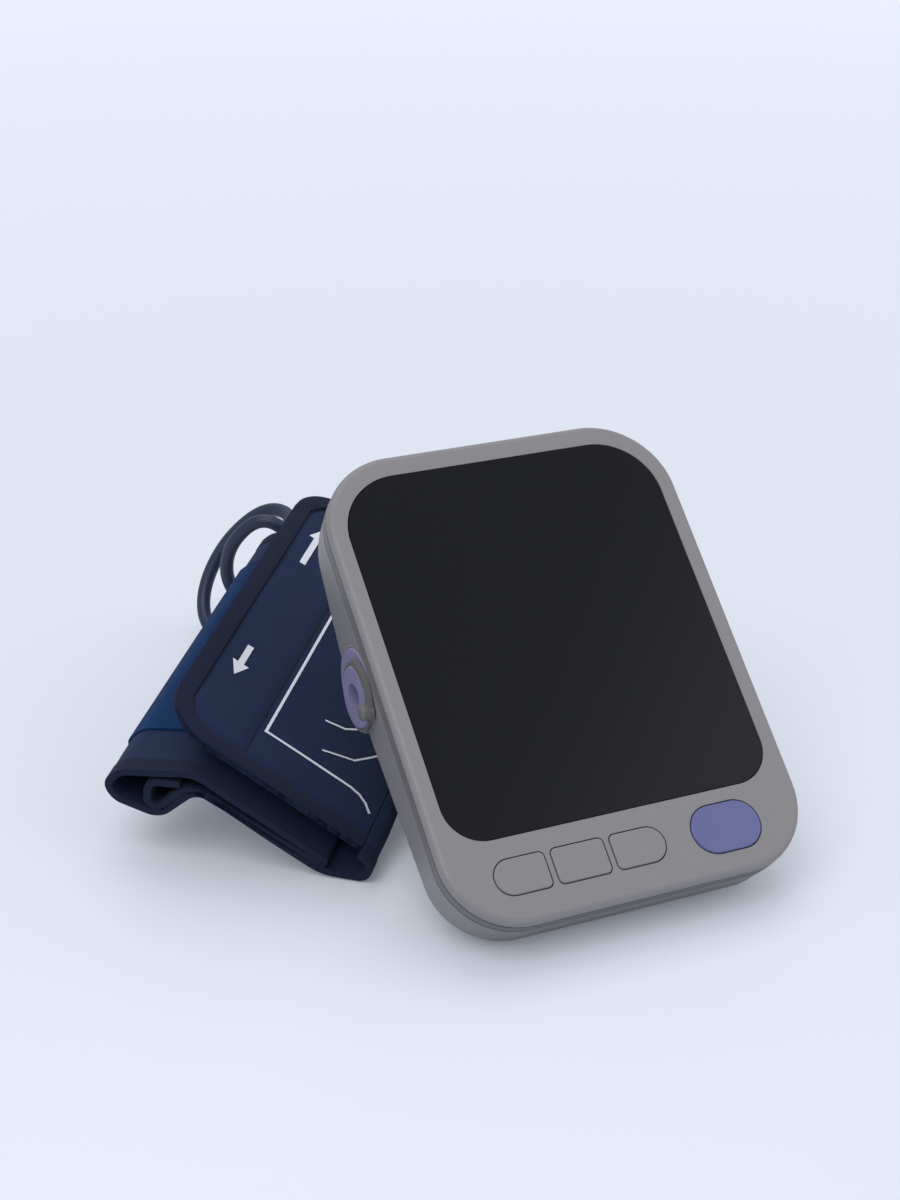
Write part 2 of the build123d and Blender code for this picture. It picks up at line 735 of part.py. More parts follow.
def make_strap_layers():
    """Outer cloth, bladder and lining of the wound strap, and the tape that binds its two edges."""
    start = cuff_start + binding_width
    length = cuff_width - 2 * binding_width
    cloth = along_roll(strip_face(strap, strap_radii, 0, cloth_thickness), start, length)
    lining_face = strip_face(strap, strap_radii, strap_thickness - cloth_thickness, strap_thickness)
    lining = along_roll(lining_face, start, length)
    bladder_near = cloth_thickness + 0.1
    bladder_path = [(-2.0, 0.2), *strap[3:10], on_slope(0, 6)]
    bladder_radii = strap_radii[2:9]
    bladder_face = strip_face(bladder_path, bladder_radii, bladder_near, bladder_near + bladder_thickness)
    bladder = along_roll(bladder_face, start + 6, length - 12)
    tape_face = strip_face(strap, strap_radii, 0, strap_thickness)
    tapes = [
        along_roll(tape_face, cuff_start, binding_width - 0.02),
        along_roll(tape_face, start + length + 0.02, binding_width - 0.02),
    ]
    return cloth, lining, bladder, tapes


def make_loop_pile():
    """Loop strip on the cloth's outer side, from the left end of the roll to under the flap."""
    path = [bulb[2], bulb[3], bulb[4], crown, on_slope(0, 5)]
    face = strip_face(path, [*bulb_radii[3:], 7.0], -0.05 - pile_thickness, -0.05)
    return along_roll(face, cuff_start + pile_margin, cuff_width - 2 * pile_margin)


def make_hook_patch():
    """Hook strip on the flap's inner side, behind its free edge."""
    length = hook_length - 4
    panel = Rectangle(length, cuff_width - 2 * flap_corner)
    low = strap_thickness + 0.05 + hook_thickness
    panel = Pos(flap_end + 4 + length / 2, cuff_start + flap_skew + cuff_width / 2, -low) * panel
    return Location(flap_plane) * extrude(panel, hook_thickness)


def make_flap():
    """Flap panel whose right end is rounded about the line it opens on, and the tape round it."""
    bead = strap_thickness / 2
    right = hinge_along - layer_gap - bead
    whole = flap_sheet(0, 0, strap_thickness, right)
    panel = flap_sheet(binding_width, 0, strap_thickness, hinge_along)
    panel = panel & flap_sheet(0, 0, strap_thickness, right)
    cutter = flap_sheet(binding_width - 0.05, -1, strap_thickness + 1, hinge_along + 5)
    roller = Rot(90, 0, 0) * Cylinder(bead, cuff_width - 2 * binding_width)
    roller = Location(flap_plane) * Pos(right, cuff_start + flap_skew + cuff_width / 2, -bead) * roller
    return panel + roller, whole - cutter


gland_spot = (-60.2, 20.6)


def make_gland():
    """Sleeve that brings the hose out of the bladder at the far edge of the cuff."""
    base = Pos(gland_spot[0], cuff_start + cuff_width - gland_length / 2 + 1, gland_spot[1])
    sleeve = Rot(90, 0, 0) * Cylinder(gland_radius, gland_length)
    return base * sleeve


def cord_radii(points):
    """Bend radius at each inner point of a cord's route."""
    radii = []
    for before, here, after in zip(points, points[1:], points[2:]):
        run_in = Vector(*here) - Vector(*before)
        run_out = Vector(*after) - Vector(*here)
        half_turn = math.radians(run_in.get_angle(run_out)) / 2
        radii.append(0.45 * min(run_in.length, run_out.length) / math.tan(half_turn))
    return radii


def make_hose(points):
    """Hose along a route of straight runs with a bend at each point."""
    radii = cord_radii(points)
    path = FilletPolyline(*points, radius=radii)
    print("hose radii", [round(r, 1) for r in radii], "length", round(path.length, 1))
    return sweep(Plane(origin=path @ 0, z_dir=path % 0) * Circle(hose_radius), path=path)


def make_coil():
    """Outer shape of the turns that lie on each other on the table."""
    section = Pos(0, hose_radius * coil_turns) * Rectangle(2 * hose_radius - 1.2, 2 * hose_radius * (coil_turns - 1))
    for turn in range(coil_turns):
        section += Pos(0, hose_radius * (2 * turn + 1)) * Circle(hose_radius)
    section = Plane.XZ * (Pos(coil_radius, 0) * section)
    return Pos(*coil_spot, 0.05) * revolve(section, Axis.Z)


def make_plug():
    """Plug with a ribbed grip and a hollow pin that enters the monitor's socket."""
    grip = Cylinder(plug_grip_radius, plug_grip_length, align=(Align.CENTER, Align.CENTER, Align.MIN))
    grip = fillet(grip.edges(), 1.0)
    for step in range(3):
        ring = Torus(plug_grip_radius, 0.5)
        grip -= Pos(0, 0, 4 + 2.6 * step) * ring
    pin = Pos(0, 0, plug_grip_length - 0.1) * Cylinder(
        plug_pin_radius, plug_pin_length + 0.1, align=(Align.CENTER, Align.CENTER, Align.MIN)
    )
    pin = chamfer(pin.faces().sort_by(Axis.Z)[-1].edges(), 0.5)
    plug = grip + pin
    plug -= Pos(0, 0, 3) * Cylinder(1.4, 60, align=(Align.CENTER, Align.CENTER, Align.MIN))
    end = Vector(*tail_route[-1])
    last_run = end - Vector(*tail_route[-2])
    return Location(Plane(origin=end, z_dir=last_run)) * plug


# Assembly
parts = {}
centred = Pos(*row_shift, 0)
monitor = centred * Pos(0, 0, pad_proud - base_level) * stand
cuff_frame = centred * cuff_frame


def add(name, shape, frame):
    if isinstance(shape, list):
        shape = Compound(children=[frame * s.solid() if not isinstance(s, Solid) else frame * s for s in shape])
    else:
        shape = frame * shape
    parts[name] = shape


add("front_housing", make_front_housing(), monitor)
add("side_band", layer(outline() - outline(band_thickness), band_top, band_bottom), monitor)
add("rear_housing", make_rear_housing(), monitor)
add("display_window", make_window(), monitor)
add("display_module", make_display(), monitor)
add("display_holder", make_display_holder(), monitor)
add("main_board", make_board(), monitor)
add("key_switches", make_switches(), monitor)
for key_name, key_shape in key_shapes.items():
    add(key_name, make_key(key_shape), monitor)
add("buzzer", make_buzzer(), monitor)
add("pressure_sensor", make_sensor(), monitor)
add("air_pump", make_pump(), monitor)
add("release_valve", make_valve(), monitor)
add("air_manifold", make_manifold(), monitor)
add("inner_air_tubes", make_air_tubes(), monitor)
add("socket_bezel", make_bezel(), monitor)
add("socket_collar", make_collar(), monitor)
add("socket_lever", make_lever(), monitor)
add("power_jack", make_jack(), monitor)
add("battery_cover", make_battery_cover(), monitor)
add("batteries", make_batteries(), monitor)
add("battery_contacts", make_contacts(), monitor)
add("rubber_feet", make_pads(), monitor)
add("housing_screws", make_screws(), monitor)

cloth, lining, bladder, tapes = make_strap_layers()
flap_panel, flap_tape = make_flap()
add("cuff_cloth", cloth, cuff_frame)
add("cuff_lining", lining, cuff_frame)
add("air_bladder", bladder, cuff_frame)
add("edge_binding", tapes, cuff_frame)
add("loop_strip", make_loop_pile(), cuff_frame)
add("flap_panel", flap_panel, cuff_frame)
add("flap_binding", flap_tape, cuff_frame)
add("hook_strip", make_hook_patch(), cuff_frame)
add("hose_gland", make_gland(), cuff_frame)
add("air_hose", make_hose(hose_route), centred)
add("air_hose_coil", make_coil(), centred)
add("air_hose_tail", make_hose(tail_route), centred)
add("air_plug", make_plug(), centred)

os.makedirs("parts", exist_ok=True)
for name, shape in parts.items():
    export_step(shape, f"parts/{name}.step")
    box = shape.bounding_box()
    print(name, [round(v, 1) for v in (*box.min, *box.max)])
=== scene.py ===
import bpy
import bmesh
import json
import math
from mathutils import Matrix, Vector, noise


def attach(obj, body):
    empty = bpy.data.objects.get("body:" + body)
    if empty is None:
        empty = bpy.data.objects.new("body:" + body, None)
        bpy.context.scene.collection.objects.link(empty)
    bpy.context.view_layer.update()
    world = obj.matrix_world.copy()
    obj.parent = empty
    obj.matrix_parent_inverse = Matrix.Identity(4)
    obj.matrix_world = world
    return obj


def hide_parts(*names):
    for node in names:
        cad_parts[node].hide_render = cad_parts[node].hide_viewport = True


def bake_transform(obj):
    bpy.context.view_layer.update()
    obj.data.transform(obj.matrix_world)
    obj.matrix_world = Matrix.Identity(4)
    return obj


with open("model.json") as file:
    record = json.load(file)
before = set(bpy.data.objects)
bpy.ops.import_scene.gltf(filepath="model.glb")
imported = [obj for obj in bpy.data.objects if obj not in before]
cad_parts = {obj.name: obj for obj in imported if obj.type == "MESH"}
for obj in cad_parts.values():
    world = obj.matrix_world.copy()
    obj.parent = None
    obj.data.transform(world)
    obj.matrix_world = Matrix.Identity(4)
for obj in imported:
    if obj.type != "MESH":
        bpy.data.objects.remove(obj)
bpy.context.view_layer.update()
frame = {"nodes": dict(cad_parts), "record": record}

# Row frame in metres, and where the cuff's own frame lies in it
MM = 0.001
ROW_SHIFT = Vector((30.55, -98.3, 0)) * MM
CUFF_SPOT = Vector((-58.8, 57.8, 0)) * MM
CUFF_TURN = math.radians(-39)
CUFF_RISE = math.radians(8)
SLOPE = math.radians(33.7)
SLOPE_POINT = (-15.1, 12.0)
FLAP_LIFT = 8.1
FLAP_START = 3.4

cuff = Matrix.Translation(ROW_SHIFT + CUFF_SPOT)
cuff = cuff @ Matrix.Rotation(CUFF_TURN, 4, "Z") @ Matrix.Rotation(CUFF_RISE, 4, "X")
flap_corner = Vector((
    SLOPE_POINT[0] + FLAP_LIFT * math.sin(SLOPE), 0, SLOPE_POINT[1] + FLAP_LIFT * math.cos(SLOPE)
))
flap = cuff @ Matrix.Translation(flap_corner * MM) @ Matrix.Rotation(SLOPE, 4, "Y")

# Camera at the photograph's viewing angle
CAMERA_SPOT = (-0.20585, -0.50674, 0.3051)
VIEW_AZIMUTH = math.radians(-23.99)
VIEW_ELEVATION = math.radians(24.19)
camera_data = bpy.data.cameras.new("camera")
camera_data.lens = 65.64
camera_data.clip_start = 0.01
camera = bpy.data.objects.new("camera", camera_data)
bpy.context.scene.collection.objects.link(camera)
camera.location = CAMERA_SPOT
camera.rotation_euler = (math.pi / 2 - VIEW_ELEVATION, 0, VIEW_AZIMUTH)
bpy.context.scene.camera = camera
bpy.context.scene.view_settings.view_transform = "Standard"


# Materials
def linear(colour):
    """sRGB colour of 0 to 255 as linear RGBA."""
    parts = [c / 255 for c in colour]
    return (*[c / 12.92 if c <= 0.04045 else ((c + 0.055) / 1.055) ** 2.4 for c in parts], 1)


def grain_group():
    """Noise mask and bump normal on Object coordinates, shared by the smooth materials."""
    group = bpy.data.node_groups.new("grain", "ShaderNodeTree")
    face = group.interface
    for name in ("Scale", "Strength"):
        face.new_socket(name, in_out="INPUT", socket_type="NodeSocketFloat")
    face.new_socket("Mask", in_out="OUTPUT", socket_type="NodeSocketFloat")
    face.new_socket("Normal", in_out="OUTPUT", socket_type="NodeSocketVector")
    nodes, links = group.nodes, group.links
    entry = nodes.new("NodeGroupInput")
    out = nodes.new("NodeGroupOutput")
    where = nodes.new("ShaderNodeTexCoord")
    noise = nodes.new("ShaderNodeTexNoise")
    noise.inputs["Detail"].default_value = 4
    bump = nodes.new("ShaderNodeBump")
    bump.inputs["Distance"].default_value = 0.0002
    links.new(where.outputs["Object"], noise.inputs["Vector"])
    links.new(entry.outputs["Scale"], noise.inputs["Scale"])
    links.new(entry.outputs["Strength"], bump.inputs["Strength"])
    links.new(noise.outputs["Fac"], bump.inputs["Height"])
    links.new(noise.outputs["Fac"], out.inputs["Mask"])
    links.new(bump.outputs["Normal"], out.inputs["Normal"])
    return group


GRAIN = grain_group()


def material(name, colour, roughness, scale=900, strength=0.1, spread=0.06, metallic=0.0, sheen=0.0):
    """Procedural material: a colour that varies a little with a grain, and a fine bump."""
    made = bpy.data.materials.new(name)
    made.use_nodes = True
    nodes, links = made.node_tree.nodes, made.node_tree.links
    shader = nodes["Principled BSDF"]
    shader.inputs["Roughness"].default_value = roughness
    shader.inputs["Metallic"].default_value = metallic
    shader.inputs["Sheen Weight"].default_value = sheen
    grain = nodes.new("ShaderNodeGroup")
    grain.node_tree = GRAIN
    grain.inputs["Scale"].default_value = scale
    grain.inputs["Strength"].default_value = strength
    mix = nodes.new("ShaderNodeMix")
    mix.data_type = "RGBA"
    base = linear(colour)
    mix.inputs["A"].default_value = (*[c * (1 - spread) for c in base[:3]], 1)
    mix.inputs["B"].default_value = (*[min(c * (1 + spread), 1) for c in base[:3]], 1)
    links.new(grain.outputs["Mask"], mix.inputs["Factor"])
    links.new(mix.outputs["Result"], shader.inputs["Base Color"])
    links.new(grain.outputs["Normal"], shader.inputs["Normal"])
    return made


def weave(name, colour, pitch, strength, spread, frame_turn, sheen=0.3):
    """Woven cloth: two crossed bands of threads in the cuff's frame over a soft noise."""
    made = material(name, colour, 0.85, 160, 0.3, spread, sheen=sheen)
    nodes, links = made.node_tree.nodes, made.node_tree.links
    shader = nodes["Principled BSDF"]
    where = nodes.new("ShaderNodeTexCoord")
    turn = nodes.new("ShaderNodeMapping")
    turn.vector_type = "TEXTURE"
    turn.inputs["Rotation"].default_value = frame_turn
    links.new(where.outputs["Object"], turn.inputs["Vector"])
    heights = []
    for direction in ("X", "Y"):
        wave = nodes.new("ShaderNodeTexWave")
        wave.bands_direction = direction
        wave.inputs["Scale"].default_value = 0.314 / pitch
        wave.inputs["Distortion"].default_value = 0.6
        links.new(turn.outputs["Vector"], wave.inputs["Vector"])
        heights.append(wave.outputs["Fac"])
    add = nodes.new("ShaderNodeMath")
    links.new(heights[0], add.inputs[0])
    links.new(heights[1], add.inputs[1])
    bump = nodes.new("ShaderNodeBump")
    bump.inputs["Strength"].default_value = strength
    bump.inputs["Distance"].default_value = 0.0003
    links.new(add.outputs["Value"], bump.inputs["Height"])
    grain = next(n for n in nodes if n.type == "GROUP")
    links.new(grain.outputs["Normal"], bump.inputs["Normal"])
    links.new(bump.outputs["Normal"], shader.inputs["Normal"])
    return made


CLOTH_TURN = (0, SLOPE, CUFF_TURN)
MATERIALS = {
    "housing": material("grey_plastic", (140, 138, 141), 0.4, 1400, 0.12),
    "trim": material("dark_grey_plastic", (112, 110, 112), 0.42, 1400, 0.12),
    "window": material("window_black", (10, 11, 14), 0.2, 300, 0.01, 0.02),
    "display": material("display_glass", (60, 66, 62), 0.2),
    "inner_plastic": material("white_plastic", (222, 222, 216), 0.5),
    "board": material("board_green", (30, 96, 58), 0.4, 500, 0.2, 0.15),
    "switch_metal": material("switch_steel", (180, 180, 182), 0.35, metallic=1.0),
    "start": material("violet_plastic", (100, 105, 156), 0.2, 1400, 0.05),
    "black_plastic": material("black_plastic", (24, 24, 26), 0.5),
    "pump_metal": material("pump_steel", (186, 186, 190), 0.3, 700, 0.1, metallic=1.0),
    "tube_rubber": material("clear_tube", (208, 206, 198), 0.4),
    "lavender": material("lavender_plastic", (142, 136, 172), 0.35, 1400, 0.06),
    "cell": material("cell_wrap", (190, 150, 60), 0.35, 60, 0.02, 0.2),
    "spring_steel": material("spring_steel", (196, 196, 200), 0.3, metallic=1.0),
    "pad_rubber": material("pad_rubber", (40, 40, 42), 0.8, 1200, 0.3),
    "screw_steel": material("screw_steel", (140, 140, 144), 0.35, metallic=1.0),
    "navy_cloth": weave("navy_nylon", (29, 45, 77), 0.0006, 0.25, 0.1, CLOTH_TURN, 0.04),
    "lining_cloth": weave("lining_nylon", (28, 38, 66), 0.0006, 0.25, 0.12, CLOTH_TURN),
    "bladder_rubber": material("bladder_rubber", (52, 54, 60), 0.7),
    "navy_tape": weave("navy_tape", (23, 34, 60), 0.0004, 0.35, 0.1, CLOTH_TURN, 0.04),
    "loop_pile": weave("blue_loops", (2, 50, 96), 0.0008, 0.5, 0.3, CLOTH_TURN, 0.02),
    "hook_plastic": material("hook_navy", (20, 28, 48), 0.7, 2500, 0.9, 0.3),
    "hose_rubber": material("hose_navy", (34, 48, 78), 0.42, 500, 0.05, 0.05),
}
DULL = {"window": 0.3, "navy_cloth": 0.2, "navy_tape": 0.2, "loop_pile": 0.2, "hook_plastic": 0.3}
for name, level in DULL.items():
    MATERIALS[name].node_tree.nodes["Principled BSDF"].inputs["Specular IOR Level"].default_value = level
PRINT = material("white_print", (236, 240, 250), 0.7, 600, 0.05, 0.02)
STITCH = material("stitch_thread", (14, 20, 36), 0.9, 900, 0.2)
slots = {part["node"]: part["material_slot"] for part in frame["record"]["subparts"]}
for name, piece in frame["nodes"].items():
    piece.data.materials.clear()
    piece.data.materials.append(MATERIALS[slots[name]])
    for face in piece.data.polygons:
        face.material_index = 0


def finished(piece, paint, body):
    """Gives a new piece its material and slot and makes it move with a body."""
    piece.data.materials.clear()
    piece.data.materials.append(paint)
    if body:
        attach(piece, body)
    return piece


# Air hose: one line from the cuff through its loops, the coil and the tail to the plug
HOSE_DIAMETER = 0.0044
COIL_SPOT = Vector((-5.5, 174.0))
COIL_RADIUS = 21.8
COIL_TURNS = 3
COIL_START = math.radians(51)
COIL_PITCH = 4.5
POINTS_PER_TURN = 16
hose_points = [
    (-27.2, 192.5, 38.35),
    (-15.8, 206.6, 40.9),
    (-20.8, 222.3, 41.0),
    (-34.3, 227.8, 28.5),
    (-44.0, 225.4, 12.5),
    (-45.6, 214.5, 2.4),
    (-34.0, 200.0, 2.4),
    (-21.3, 195.2, 9.5),
    (-17.6, 197.2, 25.0),
    (-20.4, 198.9, 39.0),
    (-29.4, 203.7, 45.5),
    (-37.6, 211.0, 35.0),
    (-38.8, 215.4, 22.0),
    (-33.0, 217.5, 10.0),
    (-19.0, 213.5, 2.4),
    (-3.6, 200.4, 2.3),
]
for i in range(COIL_TURNS * POINTS_PER_TURN + 1):
    turn = i / POINTS_PER_TURN
    angle = COIL_START - 2 * math.pi * turn
    x, y = COIL_SPOT.x + COIL_RADIUS * math.cos(angle), COIL_SPOT.y + COIL_RADIUS * math.sin(angle)
    hose_points.append((x, y, 2.3 + COIL_PITCH * turn))
hose_points += [(20.0, 181.4, 10.5), (30.0, 173.3, 5.2), (38.0, 166.8, 4.5), (43.0, 162.8, 4.6)]
hose_points = [Vector(p) * MM + ROW_SHIFT for p in hose_points]


def hose_curve(name, points):
    """Round hose along one smooth line that starts and ends at its end points."""
    data = bpy.data.curves.new(name, "CURVE")
    data.dimensions = "3D"
    data.bevel_depth = HOSE_DIAMETER / 2
    data.bevel_resolution = 6
    data.resolution_u = 10
    data.use_fill_caps = True
    line = data.splines.new("NURBS")
    line.points.add(len(points) - 1)
    for control, point in zip(line.points, points):
        control.co = (*point, 1)
    line.order_u = 3
    line.use_endpoint_u = True
    piece = bpy.data.objects.new(name, data)
    bpy.context.scene.collection.objects.link(piece)
    return piece


hose = finished(hose_curve("hose_line", hose_points), MATERIALS["hose_rubber"], "base")
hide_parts("air_hose", "air_hose_coil", "air_hose_tail")


# Prints on the flap, drawn in the flap's plane: x to the right fold, y along the roll
PRINT_LIFT = 0.1


def flat_print(name, outlines, place, paint, body, lift=PRINT_LIFT):
    """Thin printed shapes, each a closed outline of (x, y) in millimetres in the plane of place."""
    mesh = bmesh.new()
    for outline in outlines:
        corners = [mesh.verts.new((x, y, 0)) for x, y in outline]
        mesh.faces.new(corners)
    bmesh.ops.triangulate(mesh, faces=mesh.faces)
    for _ in range(5):
        long = [edge for edge in mesh.edges if edge.calc_length() > 1.2]
        bmesh.ops.subdivide_edges(mesh, edges=long, cuts=1)
        bmesh.ops.triangulate(mesh, faces=mesh.faces)
    for corner in mesh.verts:
        corner.co.z = lift + panel_height(corner.co.x, corner.co.y)
    top = bmesh.ops.extrude_face_region(mesh, geom=mesh.faces[:])
    lifted = [v for v in top["geom"] if isinstance(v, bmesh.types.BMVert)]
    bmesh.ops.translate(mesh, verts=lifted, vec=(0, 0, 0.05))
    bmesh.ops.recalc_face_normals(mesh, faces=mesh.faces)
    mesh.transform(place @ Matrix.Scale(MM, 4))
    data = bpy.data.meshes.new(name)
    mesh.to_mesh(data)
    mesh.free()
    piece = bpy.data.objects.new(name, data)
    bpy.context.scene.collection.objects.link(piece)
    return finished(piece, paint, body)


def stroke(points, width):
    """Closed band of a width along each straight run of a line."""
    bands = []
    for (x0, y0), (x1, y1) in zip(points, points[1:]):
        length = math.hypot(x1 - x0, y1 - y0)
        dx, dy = (x1 - x0) / length * width / 2, (y1 - y0) / length * width / 2
        bands.append(
            [
                (x0 - dy - dx, y0 + dx - dy), (x0 + dy - dx, y0 - dx - dy),
                (x1 + dy + dx, y1 - dx + dy), (x1 - dy + dx, y1 + dx + dy),
            ]
        )
    return bands


def arrow(x, tip, tail, width=1.9, head=5.6, spread=2.6):
    """Head and shaft of an arrow along the roll, with its tip at y = tip."""
    way = 1 if tip > tail else -1
    neck = tip - way * head
    point = [(x, tip), (x - way * spread, neck), (x + way * spread, neck)]
    shaft = [(x - width / 2, neck), (x - width / 2, tail), (x + width / 2, tail), (x + width / 2, neck)]
    return [point, shaft]


def along(s):
    """Distance down the slope of a point at s in the cuff's section."""
    return (s - flap_corner.x) / math.cos(SLOPE)


def dashes(points, dash=2.2, gap=0.9, width=0.45):
    """Row of stitches along a line."""
    made = []
    for (x0, y0), (x1, y1) in zip(points, points[1:]):
        length = math.hypot(x1 - x0, y1 - y0)
        count = max(int(length / (dash + gap)), 1)
        for i in range(count):
            a, b = i / count, (i + dash / (dash + gap)) / count
            ends = [(x0 + (x1 - x0) * t, y0 + (y1 - y0) * t) for t in (a, b)]
            made += stroke(ends, width)
    return made


# Soft cloth pieces. Sizes in millimetres, as in the CAD.
STRAP_WIDTH = 127.0
STRAP_START = 0.6
THICKNESS = 1.6
TAPE_WIDTH = 4.8
HINGE_ALONG = 17.5
FLAP_LENGTH = 63.9
FLAP_ROUND = 15.0
FOLD = 2 * THICKNESS + 0.3


def on_slope(lift, down):
    """Point of the cuff's section: lift square to the slope and down along it."""
    return Vector((
        SLOPE_POINT[0] + down * math.cos(SLOPE) + lift * math.sin(SLOPE),
        SLOPE_POINT[1] - down * math.sin(SLOPE) + lift * math.cos(SLOPE),
    ))


bulb = [Vector(p) for p in ((-40.0, 22.1), (-51.8, 11.9), (-64.8, 16.0), (-67.4, 21.6), (-62.0, 26.3))]
crown = on_slope(0, -30.6)
right_fold = [on_slope(FLAP_LIFT, 23.3), Vector((4.6, 0.2)), Vector((-7.2, 0.2))]
tight_fold = [on_slope(0, 12.4), on_slope(-FOLD, 12.4)]
curl = [Vector(p) for p in ((-42.3, 22.8), (-51.3, 14.2), (-56.0, 15.8), (-54.8, 24.4), (-45.0, 24.9))]
strap_line = [on_slope(FLAP_LIFT, HINGE_ALONG), *right_fold, *bulb, crown, *tight_fold, *curl]
strap_rounds = [4.2, 4.0, 12.0, 5.0, 7.0, 6.0, 4.2, 8.0, 12.0, 1.7, 1.7, 5.9, 3.4, 3.1, 4.4]


def rounded_line(points, rounds, step=0.9):
    """Points along a line whose corners are arcs of the given radii, about one step apart."""
    made = [points[0]]
    for before, here, after, radius in zip(points, points[1:], points[2:], rounds):
        run_in, run_out = (here - before).normalized(), (after - here).normalized()
        turn = run_in.angle_signed(run_out)
        tangent = radius * math.tan(abs(turn) / 2)
        first = here - run_in * tangent
        side = Vector((run_in.y, -run_in.x)) * (1 if turn > 0 else -1)
        centre = first + side * radius
        count = max(int(abs(turn) * radius / step) + 1, 3)
        for i in range(count + 1):
            angle = -turn * i / count
            spoke = (first - centre)
            made.append(centre + Matrix.Rotation(angle, 2) @ spoke)
    made.append(points[-1])
    fine = [made[0]]
    for point in made[1:]:
        gap = (point - fine[-1]).length
        start = fine[-1]
        for i in range(1, max(int(gap / step), 1) + 1):
            fine.append(start.lerp(point, i / max(int(gap / step), 1)))
    return fine


def wrinkle(x, y, z, size, amount):
    """Small smooth unevenness of cloth."""
    return amount * noise.noise(Vector((x, y, z)) / size)


def wrapped(name, line, near, far, lift, thickness, amount=0.0, rows=48):
    """Cloth along a section line, from near to far along the roll, its outer face lifted by lift."""
    normals = []
    for i, point in enumerate(line):
        run = line[min(i + 1, len(line) - 1)] - line[max(i - 1, 0)]
        run.normalize()
        normals.append(Vector((-run.y, run.x)))
    mesh = bmesh.new()
    sheets = []
    for depth in (lift, lift - thickness):
        grid = []
        for row in range(rows + 1):
            y = near + (far - near) * row / rows
            ring = []
            for point, normal in zip(line, normals):
                place = point + normal * (depth + wrinkle(point.x, y, point.y, 14, amount))
                ring.append(mesh.verts.new((place.x, y, place.y)))
            grid.append(ring)
        sheets.append(grid)
    for grid in sheets:
        for low, high in zip(grid, grid[1:]):
            for i in range(len(line) - 1):
                mesh.faces.new((low[i], low[i + 1], high[i + 1], high[i]))
    top, under = sheets
    for row in (0, rows):
        for i in range(len(line) - 1):
            mesh.faces.new((top[row][i], top[row][i + 1], under[row][i + 1], under[row][i]))
    for end in (0, len(line) - 1):
        for row in range(rows):
            mesh.faces.new((top[row][end], top[row + 1][end], under[row + 1][end], under[row][end]))
    bmesh.ops.recalc_face_normals(mesh, faces=mesh.faces)
    mesh.transform(cuff @ Matrix.Scale(MM, 4))
    return object_of(name, mesh)


def object_of(name, mesh):
    """New smooth-shaded object from a bmesh."""
    data = bpy.data.meshes.new(name)
    mesh.to_mesh(data)
    mesh.free()
    for face in data.polygons:
        face.use_smooth = True
    piece = bpy.data.objects.new(name, data)
    bpy.context.scene.collection.objects.link(piece)
    bpy.ops.object.select_all(action="DESELECT")
    piece.select_set(True)
    bpy.context.view_layer.objects.active = piece
    bpy.ops.object.shade_smooth_by_angle(angle=math.radians(50))
    return piece


flap_left = HINGE_ALONG - FLAP_LENGTH
flap_near, flap_far = FLAP_START, FLAP_START + STRAP_WIDTH


def corner_inset(x):
    """How far a round corner of the flap's free end moves its side edges in at x."""
    past = max(FLAP_ROUND - (x - flap_left), 0)
    return FLAP_ROUND - math.sqrt(max(FLAP_ROUND**2 - past**2, 0))


def edge_distance(x, y):
    """Distance from a point of the flap to its bound edges."""
    side = min(y - flap_near, flap_far - y)
    end = x - flap_left
    if end < FLAP_ROUND and side < FLAP_ROUND:
        return FLAP_ROUND - math.hypot(FLAP_ROUND - end, FLAP_ROUND - side)
    return min(side, end)


def panel_height(x, y):
    """Height of the flap's outer face, which dips along its seams."""
    d = edge_distance(x, y)
    seam = min(abs(d - TAPE_WIDTH - 0.4), abs(x - seam_x))
    dip = -0.5 * math.exp(-((seam / 1.6) ** 2)) + wrinkle(x, y, 0, 16, 0.5) - 0.05
    return dip * max(min(d / 2, 1), 0)


def flap_grid(name, tape):
    """Flap panel, pulled in at its seams, or the tape that binds its three free edges."""
    columns, rows = 84, 150
    right = HINGE_ALONG - 0.3
    mesh = bmesh.new()
    grids = []
    for under in (False, True):
        grid = []
        for i in range(columns + 1):
            x = flap_left + (right - flap_left) * (i / columns) ** 1.15
            inset = corner_inset(x)
            line = []
            for j in range(rows + 1):
                y = flap_near + inset + (STRAP_WIDTH - 2 * inset) * (1 - math.cos(math.pi * j / rows)) / 2
                d = edge_distance(x, y)
                if tape:
                    z = 0.28 * math.sqrt(max(1 - ((d - TAPE_WIDTH / 2) / (TAPE_WIDTH / 2 + 0.2)) ** 2, 0)) + 0.05
                    z = -THICKNESS - z if under else z
                else:
                    z = -THICKNESS if under else panel_height(x, y)
                line.append(mesh.verts.new((x, y, z)))
            grid.append(line)
        grids.append(grid)
    for i in range(columns):
        for j in range(rows):
            middle = [grids[0][a][b].co for a, b in ((i, j), (i + 1, j + 1))]
            centre = (middle[0] + middle[1]) / 2
            if tape and edge_distance(centre.x, centre.y) > TAPE_WIDTH:
                continue
            for grid in grids:
                mesh.faces.new((grid[i][j], grid[i + 1][j], grid[i + 1][j + 1], grid[i][j + 1]))
    for side in (0, rows):
        for i in range(columns):
            mesh.faces.new((grids[0][i][side], grids[0][i + 1][side], grids[1][i + 1][side], grids[1][i][side]))
    for end in (0, columns):
        for j in range(rows):
            quad = (grids[0][end][j], grids[0][end][j + 1], grids[1][end][j + 1], grids[1][end][j])
            if all(v.link_faces for v in quad):
                mesh.faces.new(quad)
    loose = [v for v in mesh.verts if not v.link_faces]
    bmesh.ops.delete(mesh, geom=loose, context="VERTS")
    bmesh.ops.recalc_face_normals(mesh, faces=mesh.faces)
    mesh.transform(flap @ Matrix.Scale(MM, 4))
    return object_of(name, mesh)


